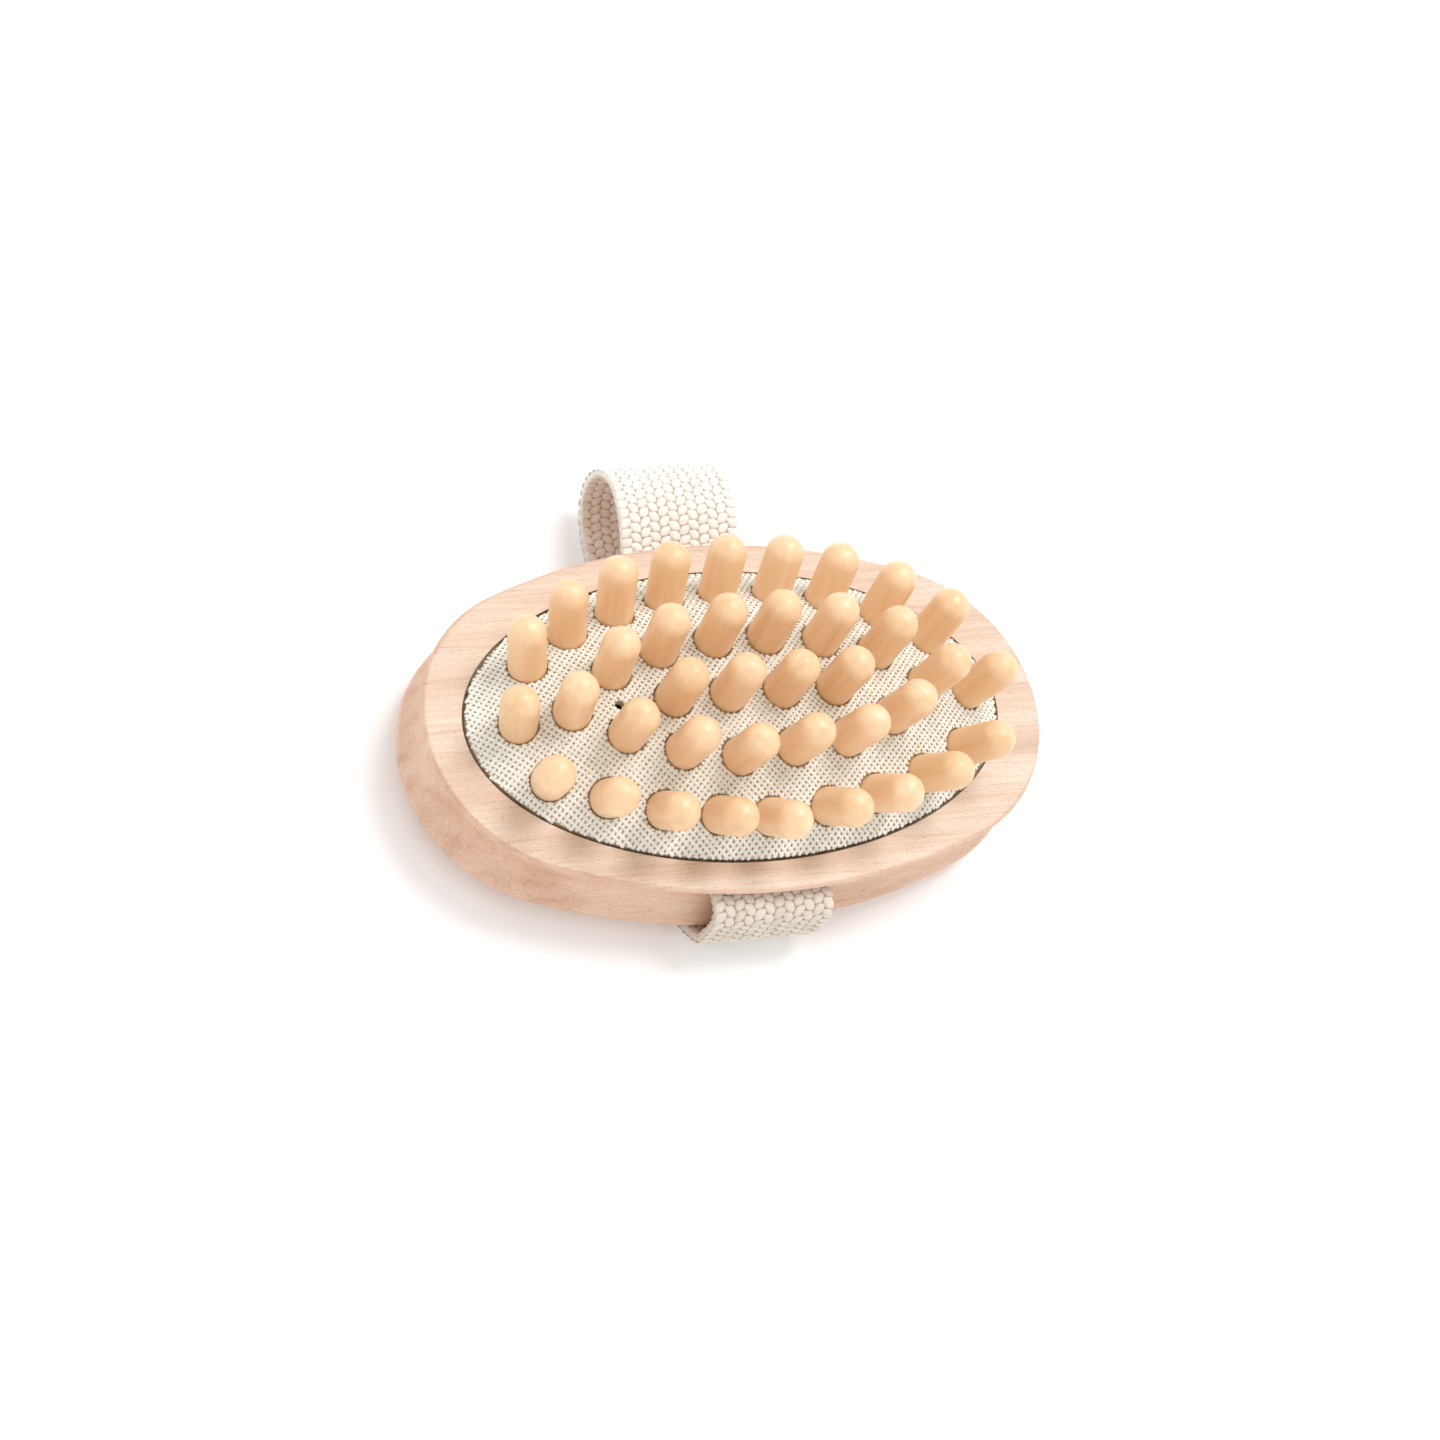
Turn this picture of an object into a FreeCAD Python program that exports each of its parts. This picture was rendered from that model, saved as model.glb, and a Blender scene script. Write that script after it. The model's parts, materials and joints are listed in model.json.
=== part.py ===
import FreeCAD, Part
import math
import os

import Sketcher
from FreeCAD import Matrix, Placement, Rotation, Vector

# Body dry brush with wooden massage pins, in millimetres.
# The brush lies on its back with the pins pointing up (+Z); +X runs along the long axis of the oval.
# The origin is on the resting face: the underside of the hand strap, below the centre of the oval.

DIMENSIONS = {
    # oval wooden body
    "body_length": 135.0,
    "body_width": 76.4,
    "end_radius": 31.5,
    "body_thickness": 20.0,
    "back_inset": 5.0,
    "lip_bottom": 3.6,
    "lip_top": 5.5,
    "cove_top": 18.8,
    "cove_depth": 2.0,
    "edge_radius": 0.8,
    # elliptical recess with the undercut that holds the cushion's bead
    "recess_length": 117.8,
    "recess_width": 64.0,
    "recess_depth": 9.5,
    "undercut_top": 1.2,
    "undercut_bottom": 2.6,
    "undercut_reach": 1.0,
    # crowned cushion: a canvas skin on a rubber membrane
    "cushion_length": 117.0,
    "cushion_width": 63.2,
    "cushion_shift": -0.7,
    "rim_height": 0.15,
    "crown_height": 10.36,
    "crown_power": 2.83,
    "canvas_thickness": 0.7,
    "rubber_thickness": 1.5,
    "canvas_foot": 1.1,
    "rubber_foot": 2.5,
    "bead_reach": 0.7,
    "bead_height": 1.2,
    "vent_distance": 29.0,
    "vent_diameter": 1.6,
    # massage pins
    "pin_diameter": 7.8,
    "pin_height": 13.9,
    "pin_clearance": 0.05,
    "pin_lean": 0.91,
    "flange_diameter": 8.8,
    "flange_thickness": 1.2,
    "flange_depth": 3.8,
    "hole_reach": 6.0,
    "outer_ring_length": 101.0,
    "outer_ring_width": 48.4,
    "inner_ring_length": 77.0,
    "inner_ring_width": 24.4,
    "row_spacing": 11.8,
    # hand strap of cotton webbing
    "strap_width": 26.0,
    "strap_thickness": 2.2,
    "strap_gap": 0.3,
    "strap_shift": -1.0,
    "slot_depth": 4.7,
    "slot_clearance": 0.2,
    "tail_end": 19.0,
    "tail_bend": 26.2,
    "slot_bend": 30.3,
    "front_reach": 41.3,
    "front_fold": 35.4,
    "front_fold_level": 7.0,
    "rear_entry": 40.0,
    "rear_climb": 46.0,
    "loop_reach": 60.4,
    "loop_radius": 9.5,
    "bend_radius": 3.0,
    "front_bend_radius": 3.2,
    "fold_radius": 4.0,
    "entry_radius": 6.0,
    "climb_radius": 12.0,
    # wire staples that hold the strap's two ends
    "staple_wire": 1.0,
    "staple_crown": 9.0,
    "staple_leg": 8.0,
    "staple_place": 22.0,
}

# distances of the pins from the middle, along the long axis; each one stands in all four quarters
OUTER_STATIONS = (50.5, 44.0, 34.2, 23.2, 11.9, 0.0)
INNER_STATIONS = (38.5, 29.8, 17.9, 5.8)
CENTRE_ROW_PINS = 4

# the pins are set by hand, and these stand visibly off the regular pattern: shift along x and y
SHIFTS = {
    "pin_outer_03": (0.0, -0.4),
    "pin_outer_11": (1.5, -0.5),
    "pin_outer_12": (-1.0, -0.8),
    "pin_outer_16": (-1.0, -0.5),
    "pin_outer_19": (1.0, 0.0),
    "pin_outer_20": (2.0, -0.4),
    "pin_inner_01": (1.0, 0.5),
    "pin_inner_07": (1.0, -0.5),
    "pin_inner_09": (1.0, 1.5),
    "pin_inner_11": (-0.5, -1.0),
    "pin_inner_14": (-0.3, 1.3),
}

CROWN_STEPS = 12    # points along the crown's half profile
LEAST_CUT = 1.0     # cubic millimetres that every pocket must take away
TOUCHING = 1e-6     # two levels or points closer than this are the same

document = FreeCAD.newDocument("body_dry_brush")


def make_sheet():
    """Spreadsheet with one named cell for each driving dimension."""
    cells = document.addObject("Spreadsheet::Sheet", "dims")
    for row, (name, value) in enumerate(DIMENSIONS.items(), start=1):
        cells.set(f"A{row}", name)
        cells.set(f"B{row}", str(value))
        cells.setAlias(f"B{row}", name)
    document.recompute()
    return cells


sheet = make_sheet()


def size(name):
    """Value of a cell, for shapes that are worked out in code."""
    return float(sheet.get(name))


BACK_HEIGHT = size("strap_thickness") + size("strap_gap")
TOP_HEIGHT = BACK_HEIGHT + size("body_thickness")


# ---------------------------------------------------------------- sketches

def origin_plane(body, role):
    return next(plane for plane in body.Origin.OriginFeatures if plane.Role == role)


def add_sketch(body, name, role="XY_Plane", height="0"):
    """Sketch on one of the body's own origin planes, lifted off it by an expression."""
    sketch = body.newObject("Sketcher::SketchObject", name)
    sketch.AttachmentSupport = [(origin_plane(body, role), "")]
    sketch.MapMode = "FlatFace"
    sketch.setExpression("AttachmentOffset.Base.z", height)
    return sketch


def oval_arcs(inset):
    """Four tangent arcs: two end arcs and two flatter side arcs, all moved inwards by the inset."""
    half_length = size("body_length") / 2
    half_width = size("body_width") / 2
    end_radius = size("end_radius")
    end_centre = half_length - end_radius
    side_radius = (end_centre**2 + half_width**2 - end_radius**2) / (2 * (half_width - end_radius))
    side_centre = side_radius - half_width
    joint_angle = math.atan2(side_centre, end_centre)
    arcs = []
    for centre, radius, middle, spread in (
        (Vector(end_centre, 0), end_radius, 0.0, joint_angle),
        (Vector(0, -side_centre), side_radius, math.pi / 2, math.pi / 2 - joint_angle),
        (Vector(-end_centre, 0), end_radius, math.pi, joint_angle),
        (Vector(0, side_centre), side_radius, -math.pi / 2, math.pi / 2 - joint_angle),
    ):
        circle = Part.Circle(centre, Vector(0, 0, 1), radius - inset)
        arcs.append(Part.ArcOfCircle(circle, middle - spread, middle + spread))
    return arcs


def oval_sketch(body, name, height, inset):
    sketch = add_sketch(body, name, height=height)
    sketch.addGeometry(oval_arcs(inset))
    return sketch


def ellipse_sketch(body, name, height, long_axis, short_axis):
    """Ellipse on the long axis, shifted with the cushion, its two axes bound to the sheet."""
    sketch = add_sketch(body, name, height=height)
    sketch.setExpression("AttachmentOffset.Base.x", "dims.cushion_shift")
    sketch.addGeometry(Part.Ellipse(Vector(), size("recess_length") / 2, size("recess_width") / 2))
    sketch.exposeInternalGeometry(0)
    sketch.addConstraint(Sketcher.Constraint("Coincident", 0, 3, -1, 1))
    sketch.addConstraint(Sketcher.Constraint("Horizontal", 1))
    axes = ((1, size("recess_length"), long_axis), (2, size("recess_width"), short_axis))
    for line, start_length, expression in axes:
        index = sketch.addConstraint(Sketcher.Constraint("Distance", line, start_length))
        sketch.renameConstraint(index, f"axis_{line}")
        sketch.setExpression(f"Constraints.axis_{line}", expression)
    return sketch


def rectangle_sketch(body, name, role, lift, centre, width, height):
    """Rectangle about a centre, its width and height bound to the sheet."""
    sketch = add_sketch(body, name, role, lift)
    for axis, expression in zip(("x", "y"), centre):
        sketch.setExpression(f"AttachmentOffset.Base.{axis}", expression)
    corners = [Vector(-1, -1), Vector(1, -1), Vector(1, 1), Vector(-1, 1)]
    for start, end in zip(corners, corners[1:] + corners[:1]):
        sketch.addGeometry(Part.LineSegment(start, end))
    for side in range(4):
        sketch.addConstraint(Sketcher.Constraint("Coincident", side, 2, (side + 1) % 4, 1))
        direction = "Horizontal" if side % 2 == 0 else "Vertical"
        sketch.addConstraint(Sketcher.Constraint(direction, side))
    sketch.addConstraint(Sketcher.Constraint("Symmetric", 0, 1, 1, 2, -1, 1))
    for side, label, expression in ((0, "width", width), (1, "height", height)):
        index = sketch.addConstraint(Sketcher.Constraint("Distance", side, 2.0))
        sketch.renameConstraint(index, label)
        sketch.setExpression(f"Constraints.{label}", expression)
    return sketch


# ---------------------------------------------------------------- features

def add_loft(body, name, sections, ruled):
    loft = body.newObject("PartDesign::AdditiveLoft", name)
    loft.Profile = sections[0]
    loft.Sections = sections[1:]
    loft.Ruled = ruled
    document.recompute()
    return loft


def add_pad(body, name, sketch, length):
    pad = body.newObject("PartDesign::Pad", name)
    pad.Profile = sketch
    pad.setExpression("Length", length)
    document.recompute()
    return pad


def add_pocket(body, name, sketch, length, both_ways=False):
    """Pocket that must take material away: one that points off the solid is an error."""
    volume_before = body.Shape.Volume
    pocket = body.newObject("PartDesign::Pocket", name)
    pocket.Profile = sketch
    pocket.Midplane = both_ways
    pocket.setExpression("Length", length)
    document.recompute()
    if body.Shape.Volume > volume_before - LEAST_CUT:
        raise RuntimeError(f"{name} cuts nothing")
    return pocket


def new_body(label, lift=None):
    body = document.addObject("PartDesign::Body", label)
    body.Label = label
    if lift:
        body.setExpression("Placement.Base.z", lift)
    return body


# ---------------------------------------------------------------- wooden body

def round_top_edge(body, flange):
    """Small radius all round the top face's outer edge."""
    top = size("body_thickness")
    names = []
    for index, edge in enumerate(flange.Shape.Edges, start=1):
        box = edge.BoundBox
        if abs(box.ZMin - top) < TOUCHING and abs(box.ZMax - top) < TOUCHING:
            names.append(f"Edge{index}")
    fillet = body.newObject("PartDesign::Fillet", "top_edge")
    fillet.Base = (flange, names)
    fillet.setExpression("Radius", "dims.edge_radius")
    document.recompute()


def make_wooden_body():
    """Oval block turned upside down: bevelled back, coved wall, flat top with a recess."""
    body = new_body("wooden_body", "dims.strap_thickness + dims.strap_gap")
    back = [
        oval_sketch(body, "back_face", "0", size("back_inset")),
        oval_sketch(body, "lip_start", "dims.lip_bottom", 0.0),
    ]
    add_loft(body, "back_bevel", back, ruled=True)
    lip = oval_sketch(body, "lip_outline", "dims.lip_bottom", 0.0)
    add_pad(body, "lip", lip, "dims.lip_top - dims.lip_bottom")
    cove = [
        oval_sketch(body, "cove_start", "dims.lip_top", 0.0),
        oval_sketch(body, "cove_waist", "(dims.lip_top + dims.cove_top) / 2", size("cove_depth")),
        oval_sketch(body, "cove_end", "dims.cove_top", 0.0),
    ]
    add_loft(body, "cove", cove, ruled=False)
    flange_outline = oval_sketch(body, "flange_outline", "dims.cove_top", 0.0)
    flange = add_pad(body, "top_flange", flange_outline, "dims.body_thickness - dims.cove_top")
    round_top_edge(body, flange)
    recess = ellipse_sketch(
        body, "recess_outline", "dims.body_thickness", "dims.recess_length", "dims.recess_width"
    )
    add_pocket(body, "cushion_recess", recess, "dims.recess_depth")
    undercut = ellipse_sketch(
        body,
        "undercut_outline",
        "dims.body_thickness - dims.undercut_top",
        "dims.recess_length + 2 * dims.undercut_reach",
        "dims.recess_width + 2 * dims.undercut_reach",
    )
    add_pocket(body, "bead_undercut", undercut, "dims.undercut_bottom - dims.undercut_top")
    slots = rectangle_sketch(
        body,
        "slot_outline",
        "XZ_Plane",
        "0",
        ("dims.strap_shift", "dims.body_thickness - dims.slot_depth"),
        "dims.strap_width + 2 * dims.slot_clearance",
        "dims.strap_thickness + 2 * dims.slot_clearance",
    )
    add_pocket(body, "strap_slots", slots, "dims.body_width * 1.2", both_ways=True)
    return body


# ---------------------------------------------------------------- cushion

def crown_drop(rho):
    """How far the crowned surface lies below its top at a fraction rho of the way to the rim."""
    return size("crown_height") * rho ** size("crown_power")


def crown_solid(inset, lowered, foot):
    """Everything under the crowned surface: a turned dome stretched into an ellipse.

    The inset moves the rim inwards, lowered moves the surface down, and foot is the depth of the
    bottom below the wooden top face.
    """
    semi_long = size("cushion_length") / 2 - inset
    semi_short = size("cushion_width") / 2 - inset
    crest = size("rim_height") + size("crown_height") - lowered
    points = []
    for step in range(CROWN_STEPS + 1):
        rho = step / CROWN_STEPS
        points.append(Vector(rho * semi_short, 0, crest - crown_drop(rho)))
    rim_slope = -size("crown_height") * size("crown_power") / semi_short
    crown = Part.BSplineCurve()
    crown.interpolate(Points=points, InitialTangent=Vector(1, 0, 0), FinalTangent=Vector(1, 0, rim_slope))
    rim = points[-1]
    axis_top = points[0]
    axis_bottom = Vector(0, 0, -foot)
    rim_bottom = Vector(semi_short, 0, -foot)
    profile = Part.Wire([
        crown.toShape(),
        Part.makeLine(rim, rim_bottom),
        Part.makeLine(rim_bottom, axis_bottom),
        Part.makeLine(axis_bottom, axis_top),
    ])
    turned = Part.Face(profile).revolve(Vector(), Vector(0, 0, 1), 360)
    stretch = Matrix()
    stretch.A11 = semi_long / semi_short
    return turned.transformGeometry(stretch)


def elliptic_plate(inset, top, bottom):
    """Flat elliptical plate between two depths below the wooden top face."""
    semi_long = size("cushion_length") / 2 - inset
    semi_short = size("cushion_width") / 2 - inset
    outline = Part.Wire(Part.Ellipse(Vector(0, 0, -bottom), semi_long, semi_short).toShape())
    return Part.Face(outline).extrude(Vector(0, 0, bottom - top))


def surface_place(x, y):
    """Placement on the canvas at x, y from the cushion's centre, with Z along the leaning pin axis."""
    semi_long = size("cushion_length") / 2
    semi_short = size("cushion_width") / 2
    rho = math.hypot(x / semi_long, y / semi_short)
    height = TOP_HEIGHT + size("rim_height") + size("crown_height") - crown_drop(rho)
    steepness = size("crown_height") * size("crown_power") * rho ** (size("crown_power") - 2)
    lean = size("pin_lean") * steepness
    axis = Vector(lean * x / semi_long**2, lean * y / semi_short**2, 1)
    place = Vector(x + size("cushion_shift"), y, height)
    return Placement(place, Rotation(Vector(0, 0, 1), axis))


def ring_points(length, width, stations):
    """Points on an ellipse above and below each station, counted anticlockwise from its +X end."""
    first_quarter = []
    for x in stations:
        y = width / 2 * math.sqrt(1 - (2 * x / length) ** 2)
        first_quarter.append((x, y))
    upper = first_quarter + [(-x, y) for x, y in reversed(first_quarter) if x > 0]
    lower = [(x, -y) for x, y in reversed(upper) if y > 0]
    return upper + lower


def pin_points():
    """Name and regular place of every pin, from the cushion's centre."""
    points = {}
    for word, stations in (("outer", OUTER_STATIONS), ("inner", INNER_STATIONS)):
        ring = ring_points(size(f"{word}_ring_length"), size(f"{word}_ring_width"), stations)
        for number, point in enumerate(ring, start=1):
            points[f"pin_{word}_{number:02d}"] = point
    for number in range(CENTRE_ROW_PINS):
        x = (number - (CENTRE_ROW_PINS - 1) / 2) * size("row_spacing")
        points[f"pin_centre_{number + 1:02d}"] = (x, 0.0)
    return points


def pin_places():
    """Name and placement of every pin."""
    places = {}
    for name, (x, y) in pin_points().items():
        shift_x, shift_y = SHIFTS.get(name, (0.0, 0.0))
        places[name] = surface_place(x + shift_x, y + shift_y)
    return places


def pin_holes(places):
    """Cutting cylinders for the pins' holes and the vent."""
    reach = size("hole_reach")
    radius = size("pin_diameter") / 2 + size("pin_clearance")
    cutters = []
    for place in places.values():
        cutter = Part.makeCylinder(radius, 2 * reach, Vector(0, 0, -reach))
        cutter.Placement = place
        cutters.append(cutter)
    vent = Part.makeCylinder(size("vent_diameter") / 2, 2 * reach, Vector(0, 0, -reach))
    vent.Placement = surface_place(-size("vent_distance"), 0.0)
    cutters.append(vent)
    return cutters


def add_feature(label, shape, place=None):
    """Piece whose shape is worked out in code."""
    feature = document.addObject("Part::Feature", label)
    feature.Label = label
    feature.Shape = shape
    if place:
        feature.Placement = place
    return feature


def make_cushion(places):
    """Canvas skin, and the rubber membrane under it with a bead that snaps into the undercut."""
    centre = Placement(Vector(size("cushion_shift"), 0, TOP_HEIGHT), Rotation())
    canvas_thickness = size("canvas_thickness")
    total_thickness = canvas_thickness + size("rubber_thickness")
    canvas_foot = size("canvas_foot")
    rubber_foot = size("rubber_foot")
    skin = crown_solid(0.0, 0.0, canvas_foot)
    skin = skin.cut(crown_solid(canvas_thickness, canvas_thickness, canvas_foot))
    membrane = crown_solid(canvas_thickness, canvas_thickness, rubber_foot)
    bead_top = rubber_foot - size("bead_height")
    membrane = membrane.fuse(elliptic_plate(-size("bead_reach"), bead_top, rubber_foot))
    membrane = membrane.cut(crown_solid(total_thickness, total_thickness, rubber_foot))
    for label, shape in (("canvas_cover", skin), ("rubber_cushion", membrane)):
        shape.Placement = centre
        pierced = shape.cut(pin_holes(places))
        add_feature(label, pierced)


# ---------------------------------------------------------------- pins

def pin_profile(sketch):
    """Half section: flange, straight shank and hemispherical head, the axis on the sketch's Y axis."""
    radius = size("pin_diameter") / 2
    flange_radius = size("flange_diameter") / 2
    flange_top = -size("flange_depth")
    flange_bottom = flange_top - size("flange_thickness")
    shoulder = size("pin_height") - radius
    corners = [
        Vector(0, flange_bottom),
        Vector(flange_radius, flange_bottom),
        Vector(flange_radius, flange_top),
        Vector(radius, flange_top),
        Vector(radius, shoulder),
    ]
    for start, end in zip(corners, corners[1:]):
        sketch.addGeometry(Part.LineSegment(start, end))
    head = Part.Circle(Vector(0, shoulder), Vector(0, 0, 1), radius)
    sketch.addGeometry(Part.ArcOfCircle(head, 0, math.pi / 2))
    tip = Vector(0, size("pin_height"))
    sketch.addGeometry(Part.LineSegment(tip, corners[0]))
    constrain_pin(sketch)


def constrain_pin(sketch):
    """Close the half section and bind its sizes to the sheet."""
    for side, following in ((0, 1), (1, 2), (2, 3), (4, 5), (5, 0)):
        sketch.addConstraint(Sketcher.Constraint("Coincident", side, 2, following, 1))
    for side, direction in ((0, "Horizontal"), (1, "Vertical"), (2, "Horizontal"), (3, "Vertical")):
        sketch.addConstraint(Sketcher.Constraint(direction, side))
    sketch.addConstraint(Sketcher.Constraint("PointOnObject", 0, 1, -2))
    sketch.addConstraint(Sketcher.Constraint("PointOnObject", 4, 2, -2))
    sketch.addConstraint(Sketcher.Constraint("PointOnObject", 4, 3, -2))
    sketch.addConstraint(Sketcher.Constraint("Tangent", 3, 2, 4, 1))
    bound = (
        ("flange_radius", Sketcher.Constraint("Distance", 0, 1.0), "dims.flange_diameter / 2"),
        ("flange_edge", Sketcher.Constraint("Distance", 1, 1.0), "dims.flange_thickness"),
        ("pin_radius", Sketcher.Constraint("Radius", 4, 1.0), "dims.pin_diameter / 2"),
        ("flange_top", Sketcher.Constraint("DistanceY", 2, 2, -1, 1, 1.0), "dims.flange_depth"),
        ("tip_height", Sketcher.Constraint("DistanceY", -1, 1, 4, 2, 1.0), "dims.pin_height"),
    )
    for name, constraint, expression in bound:
        index = sketch.addConstraint(constraint)
        sketch.renameConstraint(index, name)
        sketch.setExpression(f"Constraints.{name}", expression)


def make_pin(label, place):
    """One turned pin, modelled upright with its canvas level at zero."""
    body = new_body(label)
    profile = body.newObject("Sketcher::SketchObject", f"{label}_profile")
    profile.AttachmentSupport = [(origin_plane(body, "XZ_Plane"), "")]
    profile.MapMode = "FlatFace"
    pin_profile(profile)
    turned = body.newObject("PartDesign::Revolution", f"{label}_turned")
    turned.Profile = profile
    turned.ReferenceAxis = (profile, ["V_Axis"])
    turned.Angle = 360
    body.Placement = place


# ---------------------------------------------------------------- strap and staples

def rounded_path(corners, radii):
    """Straight runs joined by tangent arcs, one radius for each inner corner."""
    pieces = []
    start = corners[0]
    for before, corner, after, radius in zip(corners, corners[1:], corners[2:], radii):
        back = (before - corner).normalize()
        ahead = (after - corner).normalize()
        half_angle = back.getAngle(ahead) / 2
        setback = radius / math.tan(half_angle)
        entry = corner + back * setback
        leave = corner + ahead * setback
        bisector = (back + ahead).normalize()
        nearest = corner + bisector * (radius / math.sin(half_angle) - radius)
        if start.distanceToPoint(entry) > TOUCHING:
            pieces.append(Part.LineSegment(start, entry))
        pieces.append(Part.Arc(entry, nearest, leave))
        start = leave
    pieces.append(Part.LineSegment(start, corners[-1]))
    return pieces


def strap_route():
    """Middle line of the webbing as (y, z) corners and the radius at each inner corner."""
    half_thickness = size("strap_thickness") / 2
    slot_level = TOP_HEIGHT - size("slot_depth")
    tail_level = TOP_HEIGHT - size("recess_depth") + half_thickness
    floor_level = half_thickness
    loop_level = floor_level + 2 * size("loop_radius")
    tail_end, tail_bend, slot_bend = size("tail_end"), size("tail_bend"), size("slot_bend")
    front, rear = -size("front_reach"), size("loop_reach")
    bend = size("bend_radius")
    loop = size("loop_radius")
    route = [
        ((-tail_end, tail_level), None),
        ((-tail_bend, tail_level), bend),
        ((-slot_bend, slot_level), bend),
        ((front, slot_level), size("front_bend_radius")),
        ((front, size("front_fold_level")), size("fold_radius")),
        ((-size("front_fold"), floor_level), bend),
        ((rear, floor_level), loop),
        ((rear, loop_level), loop),
        ((size("rear_climb"), loop_level), size("climb_radius")),
        ((size("rear_entry"), slot_level), size("entry_radius")),
        ((slot_bend, slot_level), bend),
        ((tail_bend, tail_level), bend),
        ((tail_end, tail_level), None),
    ]
    corners = [Vector(y, z) for (y, z), radius in route]
    radii = [radius for corner, radius in route if radius]
    return corners, radii


def make_strap():
    """Webbing swept along its route, which lies in a plane across the brush."""
    body = new_body("hand_strap")
    corners, radii = strap_route()
    route = add_sketch(body, "strap_route", "YZ_Plane", "dims.strap_shift")
    pieces = rounded_path(corners, radii)
    route.addGeometry(pieces)
    start = corners[0]
    section = rectangle_sketch(
        body,
        "strap_section",
        "XZ_Plane",
        f"{-start.x}",
        ("dims.strap_shift", f"{start.y}"),
        "dims.strap_width",
        "dims.strap_thickness",
    )
    sweep = body.newObject("PartDesign::AdditivePipe", "webbing")
    sweep.Profile = section
    sweep.Spine = (route, [f"Edge{index + 1}" for index in range(len(pieces))])
    document.recompute()
    return body


def staple(x, y):
    """One bent wire: a crown that lies on the strap and two legs that go down into the wood."""
    half_wire = size("staple_wire") / 2
    half_crown = size("staple_crown") / 2
    corner_radius = size("staple_wire")
    strap_top = TOP_HEIGHT - size("recess_depth") + size("strap_thickness")
    crown_level = strap_top + half_wire
    leg_level = crown_level - size("staple_leg")
    corners = [
        Vector(x - half_crown, y, leg_level),
        Vector(x - half_crown, y, crown_level),
        Vector(x + half_crown, y, crown_level),
        Vector(x + half_crown, y, leg_level),
    ]
    wire = Part.Wire([piece.toShape() for piece in rounded_path(corners, [corner_radius, corner_radius])])
    section = Part.Wire(Part.Circle(corners[0], Vector(0, 0, 1), half_wire).toShape())
    return wire.makePipeShell([section], True, True)


def make_staples():
    """Two staples through each end of the strap."""
    side = size("strap_width") / 4
    for label, y in (("front_staples", -size("staple_place")), ("rear_staples", size("staple_place"))):
        pair = [staple(size("strap_shift") + x, y) for x in (-side, side)]
        add_feature(label, Part.makeCompound(pair))


# ---------------------------------------------------------------- assembly and export

def build():
    make_wooden_body()
    places = pin_places()
    make_cushion(places)
    for label, place in places.items():
        make_pin(label, place)
    make_strap()
    make_staples()
    document.recompute()


def sub_parts():
    return [
        item
        for item in document.Objects
        if item.TypeId in ("PartDesign::Body", "Part::Feature")
    ]


def check_document():
    for item in document.Objects:
        if "Invalid" in item.State or "Error" in item.State:
            raise RuntimeError(f"{item.Name} failed: {item.State}")
    for part in sub_parts():
        if part.Shape.isNull() or not part.Shape.isValid():
            raise RuntimeError(f"{part.Label} has no valid shape")


def export():
    os.makedirs("parts", exist_ok=True)
    for part in sub_parts():
        part.Shape.exportStep(f"parts/{part.Label}.step")
        box = part.Shape.BoundBox
        print(
            f"{part.Label:16s} volume {part.Shape.Volume:10.1f}  solids {len(part.Shape.Solids)}"
            f"  x {box.XMin:7.2f} {box.XMax:7.2f}  y {box.YMin:7.2f} {box.YMax:7.2f}"
            f"  z {box.ZMin:7.2f} {box.ZMax:7.2f}"
        )


build()
check_document()
export()
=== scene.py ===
import json
import math
import random

import bmesh
import bpy
import numpy as np
from mathutils import Matrix, Vector


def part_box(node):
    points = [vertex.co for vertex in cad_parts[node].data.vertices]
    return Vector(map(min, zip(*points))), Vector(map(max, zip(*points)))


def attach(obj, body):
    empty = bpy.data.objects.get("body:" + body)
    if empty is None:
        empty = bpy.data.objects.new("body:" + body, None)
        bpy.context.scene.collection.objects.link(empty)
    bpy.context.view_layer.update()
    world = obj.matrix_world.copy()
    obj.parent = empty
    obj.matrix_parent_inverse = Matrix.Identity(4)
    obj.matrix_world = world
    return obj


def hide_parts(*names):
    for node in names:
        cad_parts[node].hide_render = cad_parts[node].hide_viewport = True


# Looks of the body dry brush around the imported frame, in metres.
# The brush lies on its back: pins up (+Z), long axis along X, the strap's loose loop towards +Y.

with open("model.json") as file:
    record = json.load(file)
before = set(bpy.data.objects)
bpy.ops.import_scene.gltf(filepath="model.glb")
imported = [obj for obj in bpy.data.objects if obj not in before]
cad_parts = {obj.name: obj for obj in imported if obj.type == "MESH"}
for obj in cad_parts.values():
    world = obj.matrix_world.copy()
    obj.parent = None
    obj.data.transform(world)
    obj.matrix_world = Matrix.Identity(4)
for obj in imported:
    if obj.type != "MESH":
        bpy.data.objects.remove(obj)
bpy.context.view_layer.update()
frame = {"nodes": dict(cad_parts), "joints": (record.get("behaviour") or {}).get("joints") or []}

# ---------------------------------------------------------------- driving dimensions

MM = 0.001
TOP_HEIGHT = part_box("wooden_body")[1].z

CUSHION_HALF_LENGTH = 58.5 * MM
CUSHION_HALF_WIDTH = 31.6 * MM
CUSHION_SHIFT = -0.7 * MM
RIM_HEIGHT = 0.15 * MM
CROWN_HEIGHT = 10.36 * MM
CROWN_POWER = 2.83
HOLE_RADIUS = 3.95 * MM
PIN_HEIGHT = 13.9 * MM
VENT_RADIUS = 0.8 * MM
VENT_PLACE = -29.0 * MM

CANVAS_THICKNESS = 0.7 * MM
RUBBER_THICKNESS = 1.5 * MM
BEAD_DEPTH = 1.9 * MM
BEAD_RADIUS = 0.6 * MM
SKIRT_DEPTH = 2.5 * MM
SKIRT_EDGE = 0.95
BEAD_STEPS = 160
BEAD_SIDES = 10
SURFACE_CELL = 0.55 * MM
SNAP_STEPS = 3

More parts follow.
